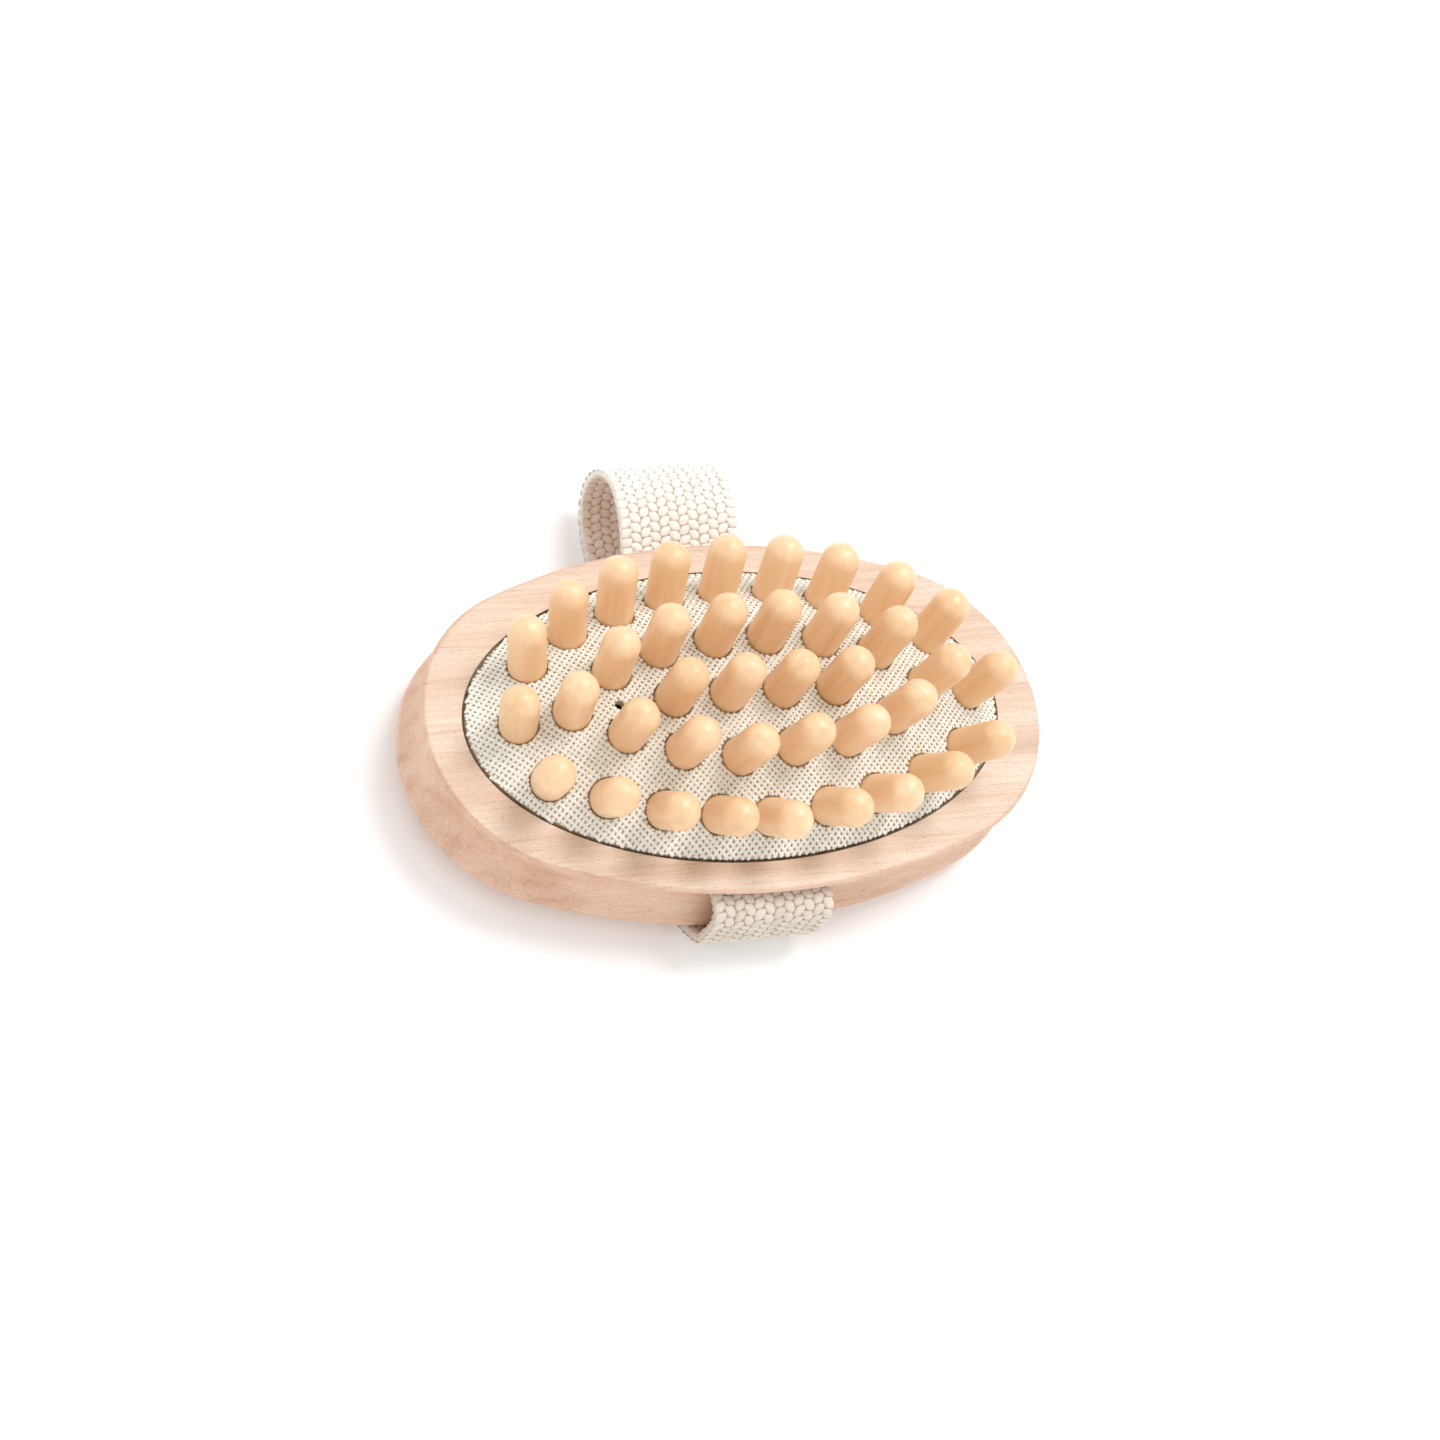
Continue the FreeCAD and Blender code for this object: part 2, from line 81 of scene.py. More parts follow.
THREAD_PITCH = 1.0 * MM
THREAD_HALF_WIDTH = 0.39 * MM
THREAD_HALF_HEIGHT = 0.14 * MM
THREAD_WAVE = 0.11 * MM
THREAD_SINK = 0.16 * MM
THREAD_ANGLES = (-88.0, -36.0, 36.0, 88.0)
THREAD_DRIFT = 0.05
THREAD_SLUB = 0.07
SAMPLES_PER_PITCH = 5
BACKING_SINK = 0.31 * MM
BACKING_THICKNESS = 0.29 * MM
CANVAS_REACH = 0.996
CANVAS_SLACK = 0.2 * MM

STRAP_WIDTH = 26.0 * MM
STRAP_LENGTH = 190.6 * MM
STRAP_THICKNESS = 2.2 * MM
STRAP_SHIFT = -1.0 * MM
STRAP_STEP = 0.4 * MM
ARC_STEPS = 24
SLOT_DEPTH = 4.7 * MM
RECESS_DEPTH = 9.5 * MM
STRAP_END = 19.0 * MM
SLOT_INSIDE = 26.2 * MM
SLOT_OUTSIDE = 30.3 * MM
FRONT_REACH = 41.3 * MM
FRONT_FOLD = 35.4 * MM
FRONT_FOLD_LEVEL = 7.0 * MM
LOOP_REACH = 60.4 * MM
LOOP_RADIUS = 9.5 * MM
REAR_CLIMB = 46.0 * MM
REAR_ENTRY = 40.0 * MM
SLOT_BEND = 3.0 * MM
FRONT_BEND = 3.2 * MM
FOLD_BEND = 4.0 * MM
CLIMB_BEND = 12.0 * MM
ENTRY_BEND = 6.0 * MM
LOOP_SKEW = 0.9 * MM
SKEW_START = 35.0 * MM
SKEW_RUN = 20.0 * MM
CORE_THICKNESS = 1.5 * MM
CORE_INSET = 0.5 * MM
STRAP_COLUMNS = 12
LOBE_PITCH = 2.0 * MM
LOBE_WIDTH = 0.54
LOBE_ROUNDNESS = 0.7
LOBE_LENGTH = 1.30
LOBE_GIRTH = 1.12
LOBE_TAPER = 0.22
LOBE_BLUNTNESS = 0.45
LOBE_SLANT = 0.22
LOBE_HALF_TURN = 85.0
LOBE_SINK = 0.1 * MM
LOBE_STEPS = 8
LOBE_SIDES = 6
SELVAGE_RADIUS = 0.55 * MM
SELVAGE_HEIGHT = 1.6
SELVAGE_PINCH = 0.12
SELVAGE_SQUEEZE = 0.10
SELVAGE_SIDES = 8
# Painted shade: the strap's cloth is greyed below this Y, fading out over the next run, for its shaded front
# fold.
SHADED_FRONT_LEVEL = -38.0 * MM
SHADED_FRONT_FADE = 20.0 * MM


def crown_rho(x, y):
    """Fraction of the way from the cushion's middle to its rim."""
    return np.hypot((x - CUSHION_SHIFT) / CUSHION_HALF_LENGTH, y / CUSHION_HALF_WIDTH)


def crown_points(x, y):
    """Points of the canvas level and the outward normals there."""
    rho = crown_rho(x, y)
    height = TOP_HEIGHT + RIM_HEIGHT + CROWN_HEIGHT * (1 - rho**CROWN_POWER)
    steep = CROWN_HEIGHT * CROWN_POWER * np.maximum(rho, 1e-9) ** (CROWN_POWER - 2)
    normal = np.stack([
        steep * (x - CUSHION_SHIFT) / CUSHION_HALF_LENGTH**2,
        steep * y / CUSHION_HALF_WIDTH**2,
        np.ones_like(x),
    ], axis=-1)
    normal /= np.linalg.norm(normal, axis=-1, keepdims=True)
    return np.stack([x, y, height], axis=-1), normal


# ---------------------------------------------------------------- the pins' places

def pin_frames():
    """For each pin: its name, the point where it leaves the canvas, and its outward axis."""
    frames = []
    for joint in frame["joints"]:
        name = joint["child"]
        axis = -np.array(joint["axis"], float)
        axis /= np.linalg.norm(axis)
        mesh = frame["nodes"][name].data
        points = np.array([v.co for v in mesh.vertices])
        along = points @ axis
        flat = points - np.outer(along, axis)
        side = np.cross(axis, (0.0, 1.0, 0.0))
        side /= np.linalg.norm(side)
        other = np.cross(axis, side)
        middle = sum(
            direction * (flat @ direction).min() / 2 + direction * (flat @ direction).max() / 2
            for direction in (side, other)
        )
        frames.append((name, middle + axis * (along.max() - PIN_HEIGHT), axis))
    return frames


PINS = pin_frames()


def holes():
    """Point, axis and radius of every hole in the cushion."""
    found = [(base, axis, HOLE_RADIUS) for name, base, axis in PINS]
    point, normal = crown_points(np.array([VENT_PLACE + CUSHION_SHIFT]), np.array([0.0]))
    found.append((point[0], normal[0], VENT_RADIUS))
    return found


HOLES = holes()


def from_axis(points, base, axis):
    """Vectors from an axis straight out to each point, and their lengths."""
    away = points - base
    away = away - np.outer(away @ axis, axis)
    return away, np.maximum(np.linalg.norm(away, axis=1), 1e-7)


def clear_of_holes(points, slack):
    """True for the points that lie outside every hole."""
    clear = np.ones(len(points), bool)
    for base, axis, radius in HOLES:
        distance = from_axis(points, base, axis)[1]
        clear &= distance > radius + slack
    return clear


def pushed_out_of_holes(points):
    """Points with those inside a hole moved straight out to its wall."""
    for base, axis, radius in HOLES:
        away, distance = from_axis(points, base, axis)
        push = np.where(distance < radius, radius / distance - 1.0, 0.0)
        points = points + away * push[:, None]
    return points


# ---------------------------------------------------------------- mesh helpers

def add_mesh(name, vertices, faces, material, tones_and_shade=None):
    """Smooth mesh object; the last argument gives one value for each vertex, the thing's tone with any
    painted shade added, which the materials read.
    """
    mesh = bpy.data.meshes.new(name)
    mesh.from_pydata([tuple(v) for v in vertices], [], faces)
    mesh.shade_smooth()
    if tones_and_shade is not None:
        layer = mesh.attributes.new("tone", "FLOAT", "POINT")
        layer.data.foreach_set("value", np.asarray(tones_and_shade, np.float32))
    mesh.materials.append(material)
    piece = bpy.data.objects.new(name, mesh)
    bpy.context.scene.collection.objects.link(piece)
    return piece


def tube_faces(first, rings, sides, flip=False, closed=False):
    """Faces of a tube whose rings follow one another from a first vertex; an open run gets two caps."""
    faces = []
    for ring in range(rings if closed else rings - 1):
        start = first + ring * sides
        following = first + (ring + 1) % rings * sides
        for side in range(sides):
            other = (side + 1) % sides
            faces.append((start + side, start + other, following + other, following + side))
    if not closed:
        last = first + (rings - 1) * sides
        faces.append(tuple(reversed(range(first, first + sides))))
        faces.append(tuple(range(last, last + sides)))
    return [face[::-1] for face in faces] if flip else faces


def thicken(piece, thickness):
    """Gives a sheet its thickness on the underside, with holes that follow the pins' axes."""
    thick = piece.modifiers.new("thickness", "SOLIDIFY")
    thick.thickness = thickness
    thick.offset = -1.0
    evaluated = piece.evaluated_get(bpy.context.evaluated_depsgraph_get())
    solid = bpy.data.meshes.new_from_object(evaluated)
    piece.modifiers.clear()
    piece.data = solid
    points = pushed_out_of_holes(np.array([v.co for v in solid.vertices]))
    solid.vertices.foreach_set("co", points.ravel())


# ---------------------------------------------------------------- material helpers

class Shader:
    """Small helper that builds one principled material out of nodes."""

    def __init__(self, name, roughness, sheen=0.0, coat=0.0, metallic=0.0, subsurface=0.0):
        self.material = bpy.data.materials.new(name)
        self.material.use_nodes = True
        self.tree = self.material.node_tree
        self.surface = self.tree.nodes["Principled BSDF"]
        self.surface.inputs["Roughness"].default_value = roughness
        self.surface.inputs["Sheen Weight"].default_value = sheen
        self.surface.inputs["Coat Weight"].default_value = coat
        self.surface.inputs["Coat Roughness"].default_value = 0.3
        self.surface.inputs["Metallic"].default_value = metallic
        self.surface.inputs["Subsurface Weight"].default_value = subsurface
        self.surface.inputs["Subsurface Scale"].default_value = 1.5 * MM
        texture = self.node("ShaderNodeTexCoord")
        self.coordinates = texture.outputs["Object"]
        self.normal = texture.outputs["Normal"]

    def node(self, kind, **settings):
        made = self.tree.nodes.new(kind)
        for key, value in settings.items():
            setattr(made, key, value)
        return made

    def link(self, source, target):
        self.tree.links.new(source, target)

    def mapped(self, scale, rotation=(0, 0, 0), place=(0, 0, 0)):
        """Object coordinates, turned and stretched."""
        mapping = self.node("ShaderNodeMapping", vector_type="TEXTURE")
        mapping.inputs["Rotation"].default_value = rotation
        mapping.inputs["Location"].default_value = place
        mapping.inputs["Scale"].default_value = scale
        self.link(self.coordinates, mapping.inputs["Vector"])
        return mapping.outputs["Vector"]

    def noise(self, vector, detail=3.0, scale=1.0, distortion=0.0):
        made = self.node("ShaderNodeTexNoise")
        made.inputs["Scale"].default_value = scale
        made.inputs["Detail"].default_value = detail
        made.inputs["Distortion"].default_value = distortion
        self.link(vector, made.inputs["Vector"])
        return made.outputs["Fac"]

    def ramp(self, value, stops):
        """Colour ramp through (place, colour) stops."""
        made = self.node("ShaderNodeValToRGB")
        elements = made.color_ramp.elements
        while len(elements) < len(stops):
            elements.new(0.5)
        for element, (place, colour) in zip(elements, stops):
            element.position = place
            element.color = (*colour, 1.0)
        self.link(value, made.inputs["Fac"])
        return made.outputs["Color"]

    def mix(self, first, second, amount, blend="MIX"):
        """Blend of two colours; the amount is a number or another node's output."""
        made = self.node("ShaderNodeMix", data_type="RGBA", blend_type=blend)
        self.link(first, made.inputs[6])
        self.link(second, made.inputs[7])
        if isinstance(amount, float):
            made.inputs[0].default_value = amount
        else:
            self.link(amount, made.inputs[0])
        return made.outputs[2]

    def part_of(self, vector, axis, low, high):
        """Grows from 0 to 1 between two values of one part of a vector."""
        split = self.node("ShaderNodeSeparateXYZ")
        self.link(vector, split.inputs["Vector"])
        grow = self.node("ShaderNodeMapRange")
        grow.inputs["From Min"].default_value = low
        grow.inputs["From Max"].default_value = high
        self.link(split.outputs[axis], grow.inputs["Value"])
        return grow.outputs["Result"]

    def painted_shade_beyond(self, colour, level):
        """Greys a colour below a level of Y, fading in above it, as painted shade; no level leaves it as it
        is.
        """
        if level is None:
            return colour
        where = self.part_of(self.coordinates, "Y", level + SHADED_FRONT_FADE, level)
        front_shade = self.ramp(where, ((0.0, (1.0, 1.0, 1.0)), (1.0, (0.82, 0.76, 0.71))))
        return self.mix(colour, front_shade, 1.0, "MULTIPLY")

    def attribute(self, name):
        return self.node("ShaderNodeAttribute", attribute_name=name).outputs["Fac"]

    def colour(self, output):
        self.link(output, self.surface.inputs["Base Color"])

    def bump(self, height, distance, strength=1.0):
        made = self.node("ShaderNodeBump")
        made.inputs["Distance"].default_value = distance
        made.inputs["Strength"].default_value = strength
        self.link(height, made.inputs["Height"])
        self.link(made.outputs["Normal"], self.surface.inputs["Normal"])


# ---------------------------------------------------------------- materials

def body_wood():
    """Pale pinkish beech with its grain along X, and short dark flecks; the flat face is paler, partly from
    its grain and partly as painted light.
    """
    shader = Shader("body_wood", roughness=0.52)
    bands = shader.noise(shader.mapped((90 * MM, 5 * MM, 7 * MM)), detail=3.0, distortion=0.3)
    rings = shader.noise(shader.mapped((260 * MM, 8 * MM, 10 * MM), place=(0, 4 * MM, 2 * MM)), detail=0.0)
    fibres = shader.noise(shader.mapped((12 * MM, 0.35 * MM, 0.35 * MM)), detail=4.0)
    flecks = shader.noise(shader.mapped((1.1 * MM, 0.24 * MM, 0.24 * MM), place=(3 * MM, 0, 0)), detail=2.0)
    wall = shader.ramp(bands, (
        (0.25, (0.60, 0.35, 0.225)),
        (0.50, (0.72, 0.47, 0.335)),
        (0.75, (0.79, 0.56, 0.425)),
    ))
    face = shader.ramp(bands, (
        (0.25, (0.62, 0.42, 0.300)),
        (0.50, (0.72, 0.55, 0.430)),
        (0.75, (0.79, 0.65, 0.540)),
    ))
    # The upward flat face takes the paler ramp: partly the lighter face grain of the wood, partly painted
    # light where the lamp falls on it.
    base = shader.mix(wall, face, shader.part_of(shader.normal, "Z", 0.85, 0.98))
    streaks = shader.ramp(fibres, ((0.30, (0.84, 0.80, 0.77)), (0.60, (1.0, 1.0, 1.0))))
    spots = shader.ramp(flecks, ((0.30, (0.70, 0.58, 0.50)), (0.42, (1.0, 1.0, 1.0))))
    line_stops = []
    white = (1.0, 1.0, 1.0)
    for place in (0.40, 0.48, 0.55, 0.62):
        line_stops += [(place - 0.010, white), (place, (0.80, 0.70, 0.63)), (place + 0.003, white)]
    growth_lines = shader.ramp(rings, line_stops)
    grained = shader.mix(shader.mix(base, streaks, 0.7, "MULTIPLY"), spots, 0.6, "MULTIPLY")
    shader.colour(shader.mix(grained, growth_lines, 0.50, "MULTIPLY"))
    shader.bump(fibres, 0.04 * MM, 0.5)
    return shader.material


def pin_wood(name, axis, rng):
    """Waxed wood turned with its grain along the pin, each pin a little different in tone."""
    shader = Shader(f"wax_{name}", roughness=0.38, coat=0.16, subsurface=0.08)
    turn = Vector((0, 0, 1)).rotation_difference(Vector(axis)).to_euler()
    place = [rng.uniform(-1, 1) for _ in range(3)]
    tone = rng.uniform(-0.035, 0.035)
    grain = shader.noise(
        shader.mapped((2.2 * MM, 2.2 * MM, 20 * MM), turn, place), detail=2.0, distortion=0.3,
    )
    fibres = shader.noise(shader.mapped((0.3 * MM, 0.3 * MM, 5 * MM), turn, place), detail=3.0)
    base = shader.ramp(grain, (
        (0.25, (0.81 + tone, 0.525 + tone, 0.290 + tone)),
        (0.52, (0.87 + tone, 0.590 + tone, 0.345 + tone)),
        (0.80, (0.91 + tone, 0.655 + tone, 0.415 + tone)),
    ))
    streaks = shader.ramp(fibres, ((0.30, (0.93, 0.88, 0.82)), (0.58, (1.0, 1.0, 1.0))))
    shader.colour(shader.mix(base, streaks, 0.35, "MULTIPLY"))
    shader.bump(fibres, 0.01 * MM, 0.3)
    return shader.material


def yarn(name, dark, light, fuzz, shaded_front=None):
    """Cotton: tone from the piece's own attribute, which also carries painted shade, fine fibres from noise.

    The last argument is the Y below which the cloth is greyest: painted shade on the strap's front fold.
    """
    shader = Shader(name, roughness=0.9, sheen=0.25)
    fibres = shader.noise(shader.mapped((fuzz, fuzz, fuzz)), detail=4.0)
    patches = shader.noise(shader.mapped((6 * MM, 6 * MM, 6 * MM)), detail=2.0)
    base = shader.ramp(shader.attribute("tone"), ((0.0, dark), (1.0, light)))
    fine = shader.ramp(fibres, ((0.30, (0.80, 0.77, 0.72)), (0.62, (1.0, 1.0, 1.0))))
    broad = shader.ramp(patches, ((0.30, (0.93, 0.92, 0.90)), (0.65, (1.0, 1.0, 1.0))))
    cotton = shader.mix(shader.mix(base, fine, 0.7, "MULTIPLY"), broad, 0.8, "MULTIPLY")
    shader.colour(shader.painted_shade_beyond(cotton, shaded_front))
    shader.bump(fibres, 0.08 * MM, 0.8)
    return shader.material


def ground_cloth(name, dark, light, grain, shaded_front=None):
    """What shows between threads and yarns, in their shade."""
    shader = Shader(name, roughness=0.95)
    speckle = shader.noise(shader.mapped((grain, grain, grain)), detail=3.0)
    cloth = shader.ramp(speckle, ((0.35, dark), (0.65, light)))
    shader.colour(shader.painted_shade_beyond(cloth, shaded_front))
    shader.bump(speckle, 0.1 * MM, 0.8)
    return shader.material


def staple_steel():
    """Drawn wire with fine lines along it."""
    shader = Shader("staple_steel", roughness=0.32, metallic=1.0)
    lines = shader.noise(shader.mapped((3 * MM, 0.12 * MM, 0.12 * MM)), detail=2.0)
    shader.colour(shader.ramp(lines, ((0.3, (0.55, 0.55, 0.57)), (0.7, (0.76, 0.76, 0.78)))))
    shader.bump(lines, 0.02 * MM, 0.4)
    return shader.material


# ---------------------------------------------------------------- cushion surfaces

def pierced_surface(name, sink, material, reach=1.0, slack=0.0):
    """Crowned sheet below the canvas level, with a round hole for every pin and the vent.

    Reach is the fraction of the cushion that it covers, and slack widens its holes.
    """
    columns = int(CUSHION_HALF_LENGTH / SURFACE_CELL) + 2
    rows = int(CUSHION_HALF_WIDTH / SURFACE_CELL) + 2
    grid_x, grid_y = np.meshgrid(
        np.arange(-columns, columns + 1) * SURFACE_CELL + CUSHION_SHIFT,
        np.arange(-rows, rows + 1) * SURFACE_CELL,
        indexing="ij",
    )
    x, y = grid_x.ravel(), grid_y.ravel()
    points, normals = crown_points(x, y)
    keep = (crown_rho(x, y) < reach) & clear_of_holes(points, slack)
    across = grid_x.shape[1]
    faces = []
    for column in range(grid_x.shape[0] - 1):
        for row in range(across - 1):
            corner = column * across + row
            face = (corner, corner + across, corner + across + 1, corner + 1)
            if keep[list(face)].sum() >= 2:
                faces.append(face)
    used = sorted({index for face in faces for index in face})
    renumber = {old: new for new, old in enumerate(used)}
    faces = [tuple(renumber[index] for index in face) for face in faces]
    x, y = snap_to_edges(x[used], y[used], reach, slack)
    points, normals = crown_points(x, y)
    return add_mesh(name, points - normals * sink, faces, material)


def snap_to_edges(x, y, reach, slack):
    """Moves points beyond the rim onto it, and points inside a hole out to its edge."""
    rho = np.maximum(crown_rho(x, y) / reach, 1.0)
    x = (x - CUSHION_SHIFT) / rho + CUSHION_SHIFT
    y = y / rho
    for base, axis, radius in HOLES:
        edge = radius + slack
        for _ in range(SNAP_STEPS):
            points = crown_points(x, y)[0]
            away, distance = from_axis(points, base, axis)
            push = np.where(distance < edge, edge / distance - 1.0, 0.0)
            x = x + away[:, 0] * push
            y = y + away[:, 1] * push
    return x, y


def rubber_membrane(material):
    """Thick membrane under the canvas, with a skirt that goes down inside the recess."""
    membrane = pierced_surface("rubber_membrane", CANVAS_THICKNESS, material)
    work = bmesh.new()
    work.from_mesh(membrane.data)
    rim = [
        edge for edge in work.edges
        if edge.is_boundary and all(crown_rho(v.co.x, v.co.y) > SKIRT_EDGE for v in edge.verts)
    ]
    grown = bmesh.ops.extrude_edge_only(work, edges=rim)["geom"]
    for item in grown:
        if isinstance(item, bmesh.types.BMVert):
            item.co.z = TOP_HEIGHT - SKIRT_DEPTH
    for face in work.faces:
        face.smooth = True
    work.to_mesh(membrane.data)
    work.free()
    thicken(membrane, RUBBER_THICKNESS)
    return membrane


def rubber_bead(material):
    """Ring round the skirt that snaps into the undercut."""
    vertices = []
    for step in range(BEAD_STEPS):
        angle = 2 * math.pi * step / BEAD_STEPS
        for side in range(BEAD_SIDES):
            turn = 2 * math.pi * side / BEAD_SIDES
            reach = BEAD_RADIUS * math.cos(turn)
            vertices.append((
                (CUSHION_HALF_LENGTH + reach) * math.cos(angle) + CUSHION_SHIFT,
                (CUSHION_HALF_WIDTH + reach) * math.sin(angle),
                TOP_HEIGHT - BEAD_DEPTH + BEAD_RADIUS * math.sin(turn),
            ))
    faces = tube_faces(0, BEAD_STEPS, BEAD_SIDES, flip=True, closed=True)
    return add_mesh("rubber_bead", vertices, faces, material)


# ---------------------------------------------------------------- canvas threads

def thread_family(name, degrees, phase, material, seed):
    """All threads that run one way: strands that go over and under, cut at the rim and the holes."""
    rng = random.Random(seed)
    along = np.array([math.cos(math.radians(degrees)), math.sin(math.radians(degrees))])
    across = np.array([-along[1], along[0]])
    reach = int(CUSHION_HALF_LENGTH / THREAD_PITCH) + 2
    steps = np.arange(-reach * SAMPLES_PER_PITCH, reach * SAMPLES_PER_PITCH + 1) / SAMPLES_PER_PITCH
    vertices, faces, tones_and_shade = [], [], []
    for number in range(-reach, reach + 1):
        tone = rng.uniform(0.15, 0.95)
        wander = rng.uniform(0, 2 * math.pi)
        thick = rng.uniform(0.84, 1.14)
        rim = CANVAS_REACH + rng.uniform(-0.002, 0.003)
        drift = THREAD_DRIFT * np.sin(steps * 0.31 + wander) + rng.uniform(-0.04, 0.04)
        place = np.outer(steps * THREAD_PITCH, along) + np.outer((number + drift) * THREAD_PITCH, across)
        x, y = place[:, 0] + CUSHION_SHIFT, place[:, 1]
        points, normals = crown_points(x, y)
        inside = (crown_rho(x, y) < rim) & clear_of_holes(points, CANVAS_SLACK)
        wave = np.cos(math.pi * (steps + number + phase))
        direction = np.gradient(points, axis=0)
        direction /= np.linalg.norm(direction, axis=1, keepdims=True)
        side = np.cross(normals, direction)
        centres = points + normals * (wave * THREAD_WAVE - THREAD_SINK)[:, None]
        slub = thick * (1 + THREAD_SLUB * np.sin(steps * 0.9 + 3 * wander))
        present = np.flatnonzero(inside)
        for run in np.split(present, np.flatnonzero(np.diff(present) > 1) + 1):
            if len(run) < 2:
                continue
            first = len(vertices)
            for index in run:
                for angle in THREAD_ANGLES:
                    turn = math.radians(angle)
                    vertices.append(
                        centres[index]
                        + side[index] * THREAD_HALF_WIDTH * slub[index] * math.sin(turn)
                        + normals[index] * THREAD_HALF_HEIGHT * 2 * math.cos(turn)
                    )
                    # On top of the thread the tone is lighter where it rides over and darker where it dips
                    # under: painted shade, added to the thread's own random tone.
                    tones_and_shade.append(tone + 0.15 * wave[index] * math.cos(turn))
            faces += tube_faces(first, len(run), len(THREAD_ANGLES), flip=True)
    return add_mesh(name, pushed_out_of_holes(np.array(vertices)), faces, material, tones_and_shade)


# ---------------------------------------------------------------- strap

def strap_corners():
    """Middle line of the webbing as (y, z) corners and the radius at each inner corner."""
    half = STRAP_THICKNESS / 2
    slot = TOP_HEIGHT - SLOT_DEPTH
    tail = TOP_HEIGHT - RECESS_DEPTH + half
    loop_top = half + 2 * LOOP_RADIUS
    return [
        ((-STRAP_END, tail), None),
        ((-SLOT_INSIDE, tail), SLOT_BEND),
        ((-SLOT_OUTSIDE, slot), SLOT_BEND),
        ((-FRONT_REACH, slot), FRONT_BEND),
        ((-FRONT_REACH, FRONT_FOLD_LEVEL), FOLD_BEND),
        ((-FRONT_FOLD, half), SLOT_BEND),
        ((LOOP_REACH, half), LOOP_RADIUS),
        ((LOOP_REACH, loop_top), LOOP_RADIUS),
        ((REAR_CLIMB, loop_top), CLIMB_BEND),
        ((REAR_ENTRY, slot), ENTRY_BEND),
        ((SLOT_OUTSIDE, slot), SLOT_BEND),
        ((SLOT_INSIDE, tail), SLOT_BEND),
        ((STRAP_END, tail), None),
    ]


def strap_line(step):
    """Points evenly spaced along the strap, with the outward normal and the travel at each."""
    corners = strap_corners()
    places = [Vector(place) for place, radius in corners]
    line = [places[0]]
    for index in range(1, len(places) - 1):
        radius = corners[index][1]
        back = (places[index - 1] - places[index]).normalized()
        ahead = (places[index + 1] - places[index]).normalized()
        half_angle = back.angle(ahead) / 2
        setback = radius / math.tan(half_angle)
        centre = places[index] + (back + ahead).normalized() * radius / math.sin(half_angle)
        start = places[index] + back * setback - centre
        end = places[index] + ahead * setback - centre
        for part in range(ARC_STEPS + 1):
            blend = start.slerp(end, part / ARC_STEPS)
            line.append(centre + blend.normalized() * radius)
    line.append(places[-1])
    line = np.array([tuple(p) for p in line])
    travel = np.concatenate([[0], np.cumsum(np.linalg.norm(np.diff(line, axis=0), axis=1))])
    stations = np.linspace(0, travel[-1], int(travel[-1] / step) + 1)
    y = np.interp(stations, travel, line[:, 0])
    z = np.interp(stations, travel, line[:, 1])
    slope_y, slope_z = np.gradient(y), np.gradient(z)
    length = np.hypot(slope_y, slope_z)
    return stations, y, z, -slope_z / length, slope_y / length


STATIONS, LINE_Y, LINE_Z, OUT_Y, OUT_Z = strap_line(STRAP_STEP)


def on_strap(travel, across, lift):
    """Point of the strap at a travel along it, so far across it and lifted off its middle plane."""
    y = np.interp(travel, STATIONS, LINE_Y) + lift * np.interp(travel, STATIONS, OUT_Y)
    z = np.interp(travel, STATIONS, LINE_Z) + lift * np.interp(travel, STATIONS, OUT_Z)
    skew = LOOP_SKEW * np.clip((y - SKEW_START) / SKEW_RUN, 0, 1)
    return (STRAP_SHIFT + skew + across, y, z)


def strap_core(material):
    """Closed flat band inside the yarns."""
    edge = STRAP_WIDTH / 2 - CORE_INSET
    shoulder = edge - CORE_INSET
    half = CORE_THICKNESS / 2
    section = (
        (-edge, half * 0.5), (-shoulder, half), (shoulder, half), (edge, half * 0.5),
        (edge, -half * 0.5), (shoulder, -half), (-shoulder, -half), (-edge, -half * 0.5),
    )
    vertices = []
    for travel in STATIONS:
        vertices.extend(on_strap(travel, across, lift) for across, lift in section)
    faces = tube_faces(0, len(STATIONS), len(section))
    return add_mesh("strap_core", vertices, faces, material)


def strap_selvage(material):
    """Edge cord along both sides of the webbing, pinched once for every stitch."""
    vertices, faces, tones_and_shade = [], [], []
    for edge in (-1, 1):
        middle = edge * (STRAP_WIDTH / 2 - SELVAGE_RADIUS)
        first = len(vertices)
        for travel in STATIONS:
            pinch = math.cos(2 * math.pi * travel / LOBE_PITCH)
            for side in range(SELVAGE_SIDES):
                turn = 2 * math.pi * side / SELVAGE_SIDES
                width = 1 - SELVAGE_PINCH + SELVAGE_PINCH * pinch
                height = 1 - SELVAGE_SQUEEZE + SELVAGE_SQUEEZE * pinch
                across = middle + edge * SELVAGE_RADIUS * width * math.cos(turn)
                lift = SELVAGE_HEIGHT * SELVAGE_RADIUS * height * math.sin(turn)
                vertices.append(on_strap(travel, across, lift))
                # Darker in each pinch of the cord: painted shade, added to a plain tone.
                tones_and_shade.append(0.5 + 0.3 * pinch)
        faces += tube_faces(first, len(STATIONS), SELVAGE_SIDES, flip=edge > 0)
    return add_mesh("strap_selvage", vertices, faces, material, tones_and_shade)


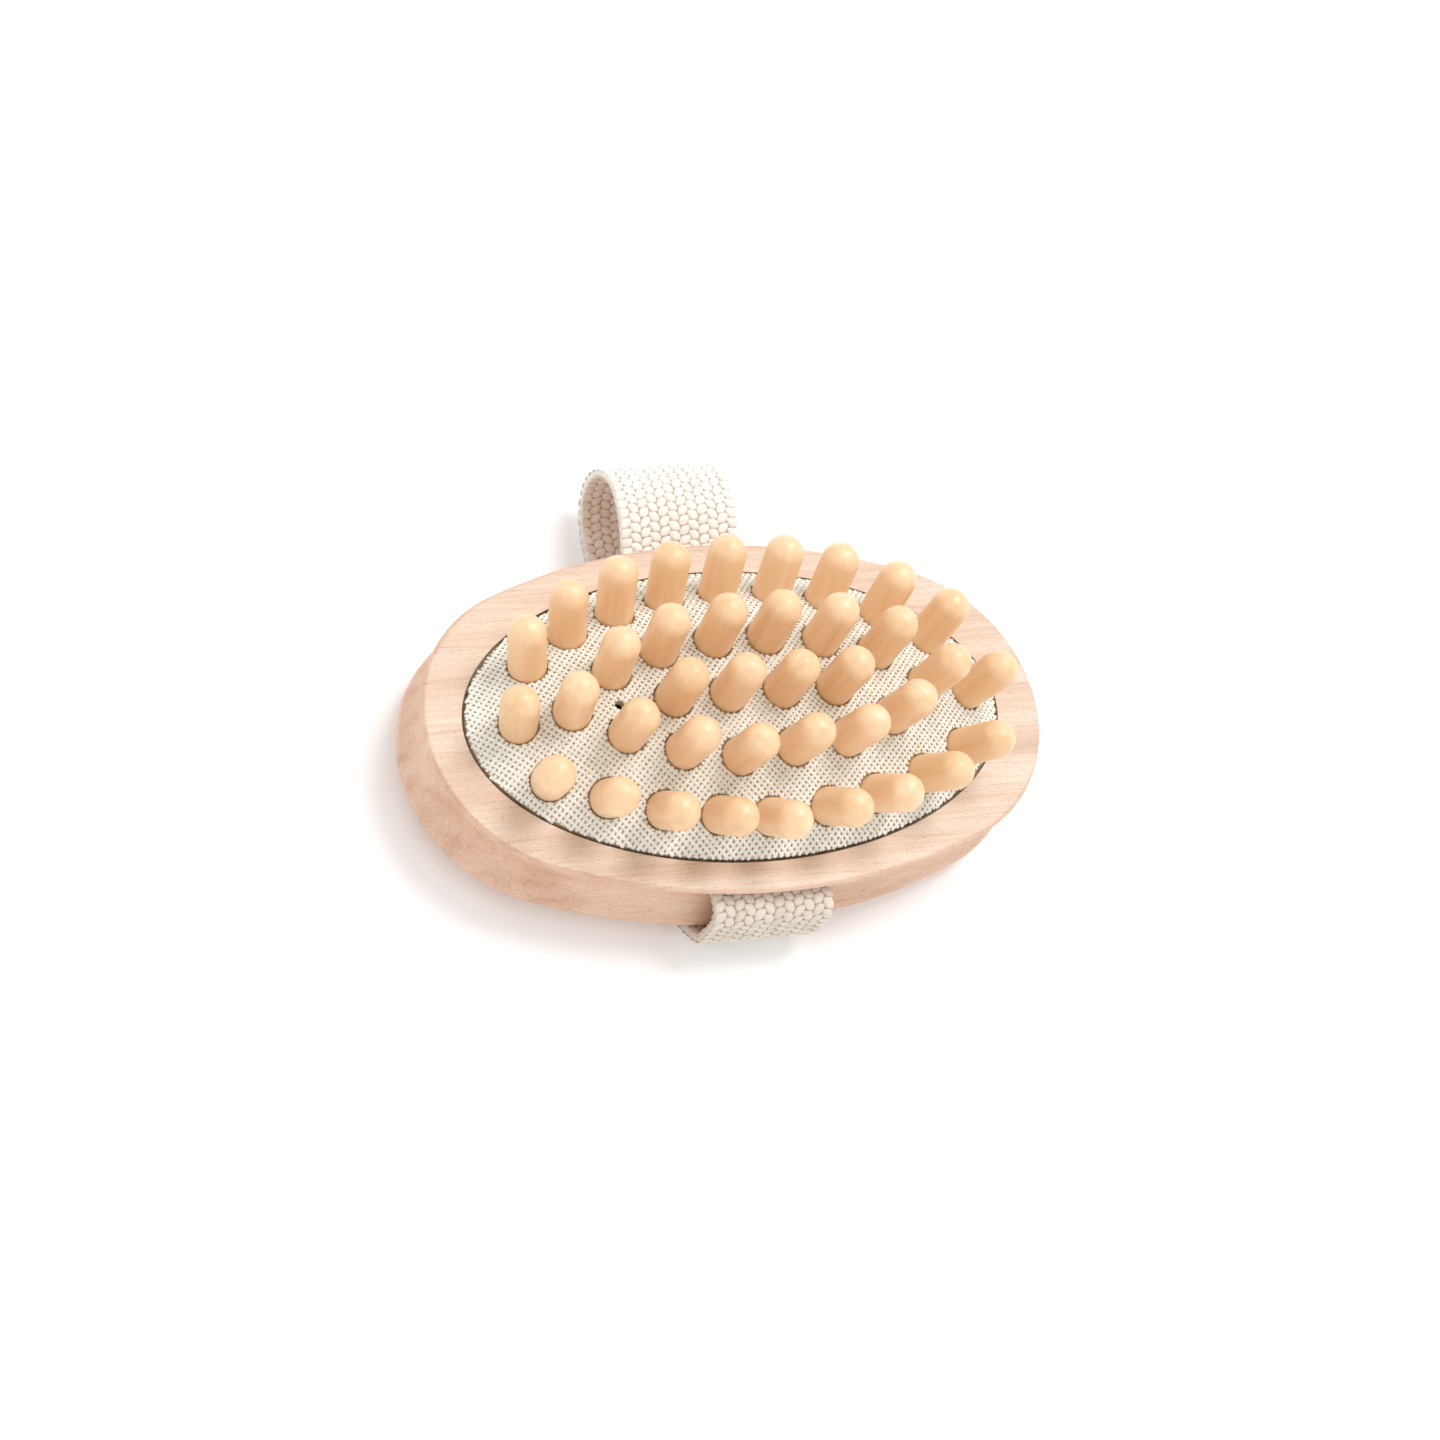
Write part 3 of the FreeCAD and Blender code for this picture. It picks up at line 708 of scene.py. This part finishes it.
def strap_yarns(name, face, material, seed):
    """Drop-shaped stitches on one face, in columns that step by half a stitch from one to the next."""
    rng = random.Random(seed)
    column_pitch = STRAP_WIDTH / STRAP_COLUMNS
    rows = int(STRAP_LENGTH / LOBE_PITCH)
    margin = 0.75 * LOBE_PITCH
    base = CORE_THICKNESS / 2 - LOBE_SINK
    rise = STRAP_THICKNESS / 2 - base
    vertices, faces, tones_and_shade = [], [], []
    for column in range(STRAP_COLUMNS):
        middle = (column - (STRAP_COLUMNS - 1) / 2) * column_pitch
        for row in range(rows):
            centre = (row + 0.5 + 0.5 * (column % 2)) * LOBE_PITCH
            if centre + margin > STRAP_LENGTH or centre < margin:
                continue
            tone = rng.uniform(0.3, 0.9)
            swell = rng.uniform(0.92, 1.06)
            slant = LOBE_SLANT * (1 if column % 2 else -1) + rng.uniform(-0.05, 0.05)
            first = len(vertices)
            for step in range(1, LOBE_STEPS):
                part = step / LOBE_STEPS
                girth = math.sin(math.pi * part) ** LOBE_BLUNTNESS * (LOBE_GIRTH - LOBE_TAPER * part)
                travel = centre + (part - 0.5) * LOBE_LENGTH * LOBE_PITCH
                for side in range(LOBE_SIDES + 1):
                    turn = math.radians(-LOBE_HALF_TURN + 2 * LOBE_HALF_TURN * side / LOBE_SIDES)
                    spread = LOBE_WIDTH * girth * swell * math.sin(turn)
                    across = middle + (slant * (part - 0.5) * 2 + spread) * column_pitch
                    height = min(1.0, girth * swell) * rise * math.cos(turn)**LOBE_ROUNDNESS
                    lift = base + height - LOBE_SINK / 2
                    vertices.append(on_strap(travel, across, face * lift))
                    # Lighter on each stitch's crown, darker on its flanks and ends: painted shade, added to
                    # the stitch's own random tone.
                    tones_and_shade.append(tone + 0.2 * (math.cos(turn) * girth - 0.6))
            faces += tube_faces(first, LOBE_STEPS - 1, LOBE_SIDES + 1, flip=face < 0)
    return add_mesh(name, vertices, faces, material, tones_and_shade)


# ---------------------------------------------------------------- camera, floor and light

def turned_to(azimuth, elevation, roll=0.0):
    """Rotation of a camera or lamp that looks back from a direction: 0 degrees is from -Y."""
    rotation = Matrix.Rotation(math.radians(azimuth), 4, "Z")
    rotation = rotation @ Matrix.Rotation(math.radians(90 - elevation), 4, "X")
    return rotation @ Matrix.Rotation(math.radians(roll), 4, "Z")


def add_camera(lens, azimuth, elevation, roll, distance, target):
    """Camera that looks at a target, given in millimetres."""
    data = bpy.data.cameras.new("camera")
    data.sensor_width = 36.0
    data.lens = lens
    data.clip_start = 0.05
    camera = bpy.data.objects.new("camera", data)
    rotation = turned_to(azimuth, elevation, roll)
    place = Vector(target) * MM + rotation.col[2].to_3d() * distance
    camera.matrix_world = Matrix.Translation(place) @ rotation
    bpy.context.scene.collection.objects.link(camera)
    bpy.context.scene.camera = camera


def add_key(azimuth, elevation, spread, strength):
    """Large soft lamp, even over the whole floor; spread is how wide it looks, in degrees."""
    data = bpy.data.lights.new("key", "SUN")
    data.angle = math.radians(spread)
    data.energy = strength
    lamp = bpy.data.objects.new("key", data)
    lamp.matrix_world = turned_to(azimuth, elevation)
    bpy.context.scene.collection.objects.link(lamp)


def add_floor():
    """Pale floor, lit a little by itself so that it stays near white under soft light."""
    shader = Shader("studio_floor", roughness=0.9)
    mottle = shader.noise(shader.mapped((0.4, 0.4, 0.4)), detail=1.0)
    shader.colour(shader.ramp(mottle, ((0.3, (0.93, 0.93, 0.93)), (0.7, (0.95, 0.95, 0.95)))))
    span = 6.0
    shader.surface.inputs["Emission Color"].default_value = (1.0, 1.0, 1.0, 1.0)
    shader.surface.inputs["Emission Strength"].default_value = 0.08
    level = -0.05 * MM
    corners = [(-span, -span, level), (span, -span, level), (span, span, level), (-span, span, level)]
    floor = add_mesh("floor", corners, [(0, 1, 2, 3)], shader.material)


def set_world(strength):
    """Even white light from all round, with colours shown as they are."""
    world = bpy.data.worlds.new("studio")
    world.use_nodes = True
    background = world.node_tree.nodes["Background"]
    background.inputs["Color"].default_value = (1.0, 1.0, 1.0, 1.0)
    background.inputs["Strength"].default_value = strength
    bpy.context.scene.world = world
    bpy.context.scene.view_settings.view_transform = "Standard"


# ---------------------------------------------------------------- the brush

def dress_node(name, material):
    """Gives a node that keeps its CAD shape its own material."""
    node = frame["nodes"][name]
    node.data.materials.clear()
    node.data.materials.append(material)


def dress_wood():
    """Gives the wooden body, the pins and the steel staples their materials."""
    dress_node("wooden_body", body_wood())
    rng = random.Random(7)
    for name, base, axis in PINS:
        dress_node(name, pin_wood(name, axis, rng))
    steel = staple_steel()
    for name in ("front_staples", "rear_staples"):
        dress_node(name, steel)


def make_canvas():
    """Backing sheet that carries both thread families, on the rubber membrane."""
    thread = yarn("canvas_thread", (0.86, 0.84, 0.74), (0.99, 0.98, 0.92), 0.16 * MM)
    shade = ground_cloth("canvas_ground", (0.66, 0.58, 0.47), (0.84, 0.77, 0.66), 0.3 * MM)
    rubber = ground_cloth("rubber_latex", (0.36, 0.27, 0.17), (0.46, 0.36, 0.24), 1.2 * MM)
    backing = pierced_surface("canvas_backing", BACKING_SINK, shade, CANVAS_REACH, CANVAS_SLACK)
    warp = thread_family("canvas_warp", 45.0, 0.0, thread, 11)
    weft = thread_family("canvas_weft", 135.0, 1.0, thread, 12)
    membrane = rubber_membrane(rubber)
    bead = rubber_bead(rubber)
    bead.parent = membrane
    thicken(backing, BACKING_THICKNESS)
    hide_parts("canvas_cover")
    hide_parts("rubber_cushion")
    for piece, slot in ((backing, "canvas"), (warp, "canvas"), (weft, "canvas"), (membrane, "rubber")):
        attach(piece, "brush")


def make_strap():
    """Webbing: a core band with a knitted face on each side."""
    # The front fold of the strap is greyed as painted shade.
    shade = ground_cloth("webbing_ground", (0.42, 0.33, 0.26), (0.62, 0.51, 0.42), 0.4 * MM, SHADED_FRONT_LEVEL)
    outer = yarn("webbing_outer", (0.84, 0.79, 0.71), (0.96, 0.94, 0.89), 0.22 * MM, SHADED_FRONT_LEVEL)
    # The inner face's yarns are browner than the outer's: the same cotton, coloured as painted shade for the
    # inside of the loop.
    inner = yarn("webbing_inner_shaded", (0.82, 0.66, 0.54), (0.97, 0.88, 0.80), 0.22 * MM)
    core = strap_core(shade)
    faces = [strap_yarns("strap_yarns_inner", 1, inner, 21), strap_yarns("strap_yarns_outer", -1, outer, 22)]
    faces.append(strap_selvage(outer))
    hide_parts("hand_strap")
    for piece in [core] + faces:
        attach(piece, "brush")


add_camera(
    lens=134.36, azimuth=-49.90, elevation=55.58, roll=40.21, distance=1.07, target=(-4.39, -0.82, 22.5),
)
add_floor()
set_world(0.94)
add_key(azimuth=128.0, elevation=65.0, spread=28.0, strength=1.5)
dress_wood()
make_canvas()
make_strap()
